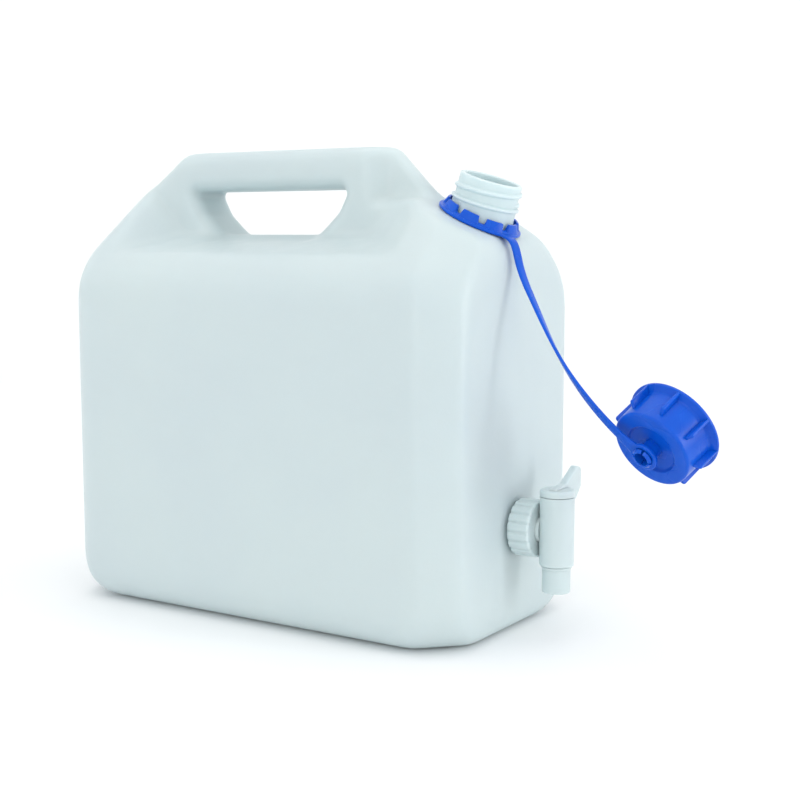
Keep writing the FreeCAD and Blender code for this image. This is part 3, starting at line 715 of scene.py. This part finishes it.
def strap_band():
    """The band from the ring to the eyelet, its width turning from the seat's to the cap's."""
    seat_turn = lean(SEAT_TILT)
    bearing = Quaternion((0, 0, 1), TETHER_BEARING)
    outwards = seat_turn @ (bearing @ Vector((1, 0, 0)))
    across = np.array(seat_turn @ (bearing @ Vector((0, 1, 0))))
    seat_up = seat_turn @ Vector((0, 0, 1))
    root = SEAT + outwards * 30.2 + seat_up * 1.3
    arrival = Vector((0.69, -0.09, -0.72))
    arrival = (arrival - CAP_NORMAL * arrival.dot(CAP_NORMAL)).normalized()
    last_across = np.array(arrival.cross(CAP_NORMAL))
    finish = CAP_FACE + CAP_NORMAL * EYELET_HEIGHT - arrival * (EYELET_RADIUS - 1.2)
    line = spline(np.array([root[:], *STRAP_ROUTE, finish[:]], float), outwards, arrival)

    # the first stretch runs straight out from inside the ring's flange
    lead = [line[0] - np.array(outwards) * d for d in (5.6, 4.6, 3.6, 2.8, 2.0, 1.2, 0.6)]
    line = np.concatenate([lead, line])
    steps = np.linalg.norm(np.diff(line, axis=0), axis=1)
    reached = np.concatenate([[0], np.cumsum(steps)])
    start = reached[len(lead)]
    twist = smoothstep(0, 1, np.clip((reached - start) / (reached[-1] - start), 0, 1))
    travel = np.gradient(line, axis=0)
    travel /= np.linalg.norm(travel, axis=1)[:, None]
    width = across[None] * (1 - twist)[:, None] + last_across[None] * twist[:, None]
    width -= travel * np.sum(width * travel, axis=1)[:, None]
    width /= np.linalg.norm(width, axis=1)[:, None]
    rise = np.cross(travel, width)

    # the section is wider at the root and where it runs into the eyelet
    flare = 3.4 * np.exp(-reached / 2.6) + 1.2 * smoothstep(start + 4, 0, reached[-1] - reached)
    section = rounded([(1, 1, 0.55), (-1, 1, 0.55), (-1, -1, 0.55), (1, -1, 0.55)], 4)
    flat = section * (STRAP_HALF, 1)
    rows = []
    for k in range(len(line)):
        side = np.sign(flat[:, 0]) * flare[k] + flat[:, 0]
        rows.append(line[k] + side[:, None] * width[k] + flat[:, 1:2] * rise[k])
    columns = len(section)
    points = np.concatenate(rows)
    faces = grid_faces(len(rows), columns)
    faces.append(list(range(columns))[::-1])
    faces.append([(len(rows) - 1) * columns + k for k in range(columns)])
    return points, faces


def strap_eyelet():
    """The flat ring at the strap's end, round the cap's stud."""
    outline = with_supports(rounded([
        (EYELET_BORE, -1, 0.3), (EYELET_RADIUS, -1, 0.5), (EYELET_RADIUS, 1, 0.5),
        (EYELET_BORE, 1, 0.3)]), 0.3, closed=True)
    points, faces = lathe(outline, 72)
    return place(points, CAP_FACE + CAP_NORMAL * EYELET_HEIGHT, cap_turn()), faces


def tether_strap(material):
    """The flat strap with its flared root on the ring and its eyelet on the cap's stud."""
    return make_object("tether_strap_detail", *merged(strap_band(), strap_eyelet()), material, 50)


# ---- the cap ----------------------------------------------------------------------------
def cap_turn():
    """The turn that carries +Z to the way the cap's face looks."""
    return Vector((0, 0, 1)).rotation_difference(CAP_NORMAL)


def cap_body(material):
    """The screw cap: sunk face, fins down the side and a flange at the rim."""
    skirt = CAP_RADIUS - CAP_WALL
    sunk = -CAP_PANEL_DEPTH
    ceiling = sunk - CAP_TOP_WALL
    outline = with_supports(rounded([
        (0, sunk, 0), (CAP_PANEL_RADIUS, sunk, 1.0), (15.8, 0, 0.8), (CAP_RADIUS, 0, 1.6),
        (CAP_RADIUS + 0.5, -20.0, 2.0), (CAP_FLANGE, -22.4, 0.5), (CAP_FLANGE, -CAP_HEIGHT, 0.4),
        (skirt, -CAP_HEIGHT, 0.4), (skirt, ceiling, 0.8), (0, ceiling, 0)], closed=False), 0.35)
    parts = [lathe(outline, 160, closed=False)]
    root, tip, foot = CAP_RADIUS - 1.0, CAP_FLANGE - 0.2, -CAP_HEIGHT + 0.8
    fin = rounded([(root, foot, 0), (tip, foot, 0), (tip, -6.8, 1.3), (root, -4.8, 0.8)])
    fin_points, fin_faces = plate(fin, CAP_FIN_THICK, 0.7)
    upright = np.stack([fin_points[:, 0], fin_points[:, 2], fin_points[:, 1]], 1)
    for index in range(CAP_FIN_COUNT):
        turn = Quaternion((0, 0, 1), math.radians(CAP_FIN_PHASE + index * 360.0 / CAP_FIN_COUNT))
        parts.append((place(upright, (0, 0, 0), turn), fin_faces))
    points, faces = merged(*parts)
    return make_object("cap_detail", place(points, CAP_FACE, cap_turn()), faces, material, 50)


def cap_stud(material):
    """The hollow stud that the eyelet turns on, split so that its lip springs in."""
    foot = -CAP_PANEL_DEPTH - 0.6
    slit_floor = STUD_HEIGHT - STUD_SLIT_DEPTH
    outline = with_supports(rounded([
        (STUD_BORE, foot, 0), (STUD_RADIUS, foot, 0), (STUD_RADIUS, STUD_HEIGHT - 2.0, 0.2),
        (STUD_RADIUS + 0.8, STUD_HEIGHT - 1.4, 0.3), (STUD_RADIUS - 0.3, STUD_HEIGHT, 0.4),
        (STUD_BORE, STUD_HEIGHT, 0.3)]), 0.3, closed=True)

    def slits(angles, radius, height):
        quarter = math.pi / 2
        across = np.abs(angles % quarter - quarter / 2) * STUD_RADIUS
        tooth = smoothstep(0.45, 0.75, across)
        above = np.maximum(height - slit_floor, 0)
        return radius, np.minimum(height, slit_floor) + above * tooth

    points, faces = lathe(outline, 240, slits)
    return make_object("cap_stud", place(points, CAP_FACE, cap_turn()), faces, material, 50)


# ---- the tap ----------------------------------------------------------------------------
def tap_nut(material):
    """The fluted union nut that holds the tap on the spigot."""
    bore, hole = SPIGOT_RADIUS + NUT_CLEAR, INLET_RADIUS + NUT_CLEAR
    shoulder = NUT_END - NUT_WALL
    outline = with_supports(rounded([
        (bore, NUT_START, 0.3), (NUT_RADIUS, NUT_START, 0.8), (NUT_RADIUS, NUT_END, 1.4),
        (hole, NUT_END, 0.4), (hole, shoulder, 0.3), (bore, shoulder, 0.3)]), 0.3, closed=True)
    pitch = 2 * math.pi / FLUTE_COUNT
    flute_depth = 0.75

    def flutes(angles, radius, height):
        across = np.abs(angles % pitch - pitch / 2) * NUT_RADIUS
        depth = flute_depth * (1 - smoothstep(0.4, 1.6, across))
        return radius - np.where(radius > 16.0, depth, 0), height

    points, faces = lathe(outline, 360, flutes)
    return make_object("tap_nut_detail", place(points, (0, 0, TAP_Z), lean(math.pi / 2)), faces,
                       material, 50)


def tap_barrel(material):
    """The fixed half of the tap: an upright barrel and the level inlet with its flange."""
    barrel_bore = PLUG_RADIUS + PLUG_CLEAR
    barrel = with_supports(rounded([
        (barrel_bore, BARREL_LOW, 0.3), (BARREL_RADIUS, BARREL_LOW, 0.8),
        (BARREL_RADIUS, BARREL_HIGH, 0.6), (barrel_bore, BARREL_HIGH, 0.3)]), 0.3, closed=True)
    points, faces = lathe(barrel, 120)
    upright = (place(points, (TAP_X, 0, 0), Quaternion()), faces)
    back = SPIGOT_END + GASKET_THICK
    face, front = back + FLANGE_THICK, TAP_X - PLUG_RADIUS - 0.2
    inlet = with_supports(rounded([
        (INLET_BORE, back, 0.3), (FLANGE_RADIUS, back, 0.3), (FLANGE_RADIUS, face, 0.3),
        (INLET_RADIUS, face, 0.5), (INLET_RADIUS, front, 0), (INLET_BORE, front, 0)]),
        0.3, closed=True)
    points, faces = lathe(inlet, 96)
    level = (place(points, (0, 0, TAP_Z), lean(math.pi / 2)), faces)
    return make_object("tap_barrel", *merged(upright, level), material, 50)


def tap_plug(material):
    """The turning half of the tap: plug, outlet and paddle."""
    bore_top, head = 76, BARREL_HIGH + HEAD_CLEAR
    top = head + 4.2
    collar, collar_radius = BARREL_LOW - 0.4, PLUG_RADIUS + 0.7
    outline = with_supports(rounded([
        (0, bore_top, 0), (PLUG_BORE, bore_top, 0), (PLUG_BORE, OUTLET_LOW, 0.3),
        (PLUG_RADIUS, OUTLET_LOW, 0.8), (PLUG_RADIUS, collar - 1.8, 0.2),
        (collar_radius, collar - 0.8, 0.4), (collar_radius, collar, 0.2),
        (PLUG_RADIUS, collar, 0), (PLUG_RADIUS, head, 0), (BARREL_RADIUS, head, 0.3),
        (BARREL_RADIUS, top, 1.3), (0, top, 0)], closed=False), 0.3)
    points, faces = lathe(outline, 120, closed=False)
    stem = (place(points, (TAP_X, 0, 0), Quaternion()), faces)
    foot = head - PADDLE_DROP
    paddle = rounded([
        (-7, head + 2.2, 0), (11.5, head + 2.2, 0), (12.2, foot, 1), (PADDLE_REACH - 7, foot, 3),
        (PADDLE_REACH, head + 2.5, 3), (PADDLE_REACH, head + 14, 3),
        (PADDLE_REACH - 5, head + 15.5, 2), (7, head + 6.5, 4), (-7, head + 5, 1.5)])
    points, faces = plate(paddle, PADDLE_THICK, 1.1)
    upright = np.stack([points[:, 2] + TAP_X, points[:, 0], points[:, 1]], 1)
    return make_object("tap_plug_detail", *merged(stem, (upright, faces)), material, 50)


# ---- put the pieces together ------------------------------------------------------------
hdpe = natural_hdpe()
blue = blue_plastic()
clear = tap_plastic()

shell = can_shell(hdpe)
neck = can_neck(hdpe)
spigot = tap_spigot(hdpe)
ring = tether_ring(blue)
strap = tether_strap(blue)
cap = cap_body(blue)
stud = cap_stud(blue)
nut = tap_nut(clear)
barrel = tap_barrel(clear)
plug = tap_plug(clear)

for piece, body, slot, node in (
        (shell, "can", "natural_hdpe", "can_body"),
        (neck, "can", "natural_hdpe", None),
        (spigot, "can", "natural_hdpe", None),
        (ring, "tether_ring", "blue_plastic", "tether_ring"),
        (cap, "cap", "blue_plastic", "cap"),
        (stud, "cap", "blue_plastic", None),
        (nut, "can", "tap_plastic", "tap_nut"),
        (barrel, "can", "tap_plastic", "tap_body"),
        (plug, "tap_plug", "tap_plastic", "tap_plug")):
    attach(piece, body)
    if node:
        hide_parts(node)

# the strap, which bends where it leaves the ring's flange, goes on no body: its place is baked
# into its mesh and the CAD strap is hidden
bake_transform(strap)
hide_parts("tether_strap")

# the hidden seal and gasket keep their CAD meshes
for node, make in (("cap_seal", seal_foam), ("tap_gasket", gasket_rubber)):
    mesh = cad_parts[node].data
    material = make()
    if not mesh.materials:
        mesh.materials.append(material)
    for index in range(len(mesh.materials)):
        mesh.materials[index] = material


# ---- floor, light and camera ------------------------------------------------------------
def floor_material():
    """Matt, nearly white, with a trace of unevenness."""
    m = Nodes("pale_floor")
    colour = m.ramp(m.noise(3.0, 2.0), [(0.3, (0.885, 0.89, 0.895)), (0.7, (0.90, 0.905, 0.91))])
    return m.finish(colour, m.spread(m.noise(20.0, 2.0), 0.6, 0.7), m.bump(m.noise(60.0), 0.0002))


def sweep_floor():
    """A pale floor that curves up into a backdrop far behind the object."""
    near, far, height, half_width = -2600, 1500, 4200, 5000
    bend, bend_steps = 1200, 12
    profile = [(near, 0), (far, 0)]
    for step in range(1, bend_steps + 1):
        angle = step / bend_steps * math.pi / 2
        profile.append((far + bend * math.sin(angle), bend * (1 - math.cos(angle))))
    profile.append((far + bend, height))
    points = np.array([(across, along, up) for across in (-half_width, half_width)
                       for along, up in profile], float)
    points = place(points, (0, 0, 0), Quaternion((0, 0, 1), CAMERA_TURN))
    faces = grid_faces(2, len(profile), wrap_columns=False)
    floor = make_object("pale_floor", points, faces, floor_material())


def area_light(name, position, target, size, power):
    """A white rectangular light that faces its target; metres and watts."""
    data = bpy.data.lights.new(name, "AREA")
    data.shape = "RECTANGLE"
    data.size, data.size_y = size
    data.energy = power
    lamp = bpy.data.objects.new(name, data)
    lamp.location = position
    aim = Vector(target) - Vector(position)
    lamp.rotation_mode = "QUATERNION"
    lamp.rotation_quaternion = aim.to_track_quat("-Z", "Y")
    bpy.context.scene.collection.objects.link(lamp)


sweep_floor()
world = bpy.data.worlds.new("soft_studio")
world.use_nodes = True
backdrop = world.node_tree.nodes["Background"]
backdrop.inputs["Color"].default_value = (0.985, 0.995, 1.0, 1.0)
backdrop.inputs["Strength"].default_value = 1.12
bpy.context.scene.world = world
area_light("overhead", (0.0, -0.2, 1.9), (0.0, 0.0, 0.1), (1.6, 1.6), 5)
area_light("front_strip", (0.42, -1.75, 0.45), (0.1, 0.0, 0.16), (0.25, 1.1), 4)
area_light("end_strip", (1.9, 0.38, 0.40), (0.15, 0.0, 0.12), (0.35, 1.1), 8)

camera_data = bpy.data.cameras.new("camera")
camera_data.lens = 62.83
camera_data.sensor_width = 36.0
camera = bpy.data.objects.new("camera", camera_data)
camera.location = (0.54722, -0.74726, 0.24508)
camera.rotation_euler = (math.pi / 2 - CAMERA_DOWN, 0.0, CAMERA_TURN)
bpy.context.scene.collection.objects.link(camera)
bpy.context.scene.camera = camera
bpy.context.scene.view_settings.view_transform = "Standard"
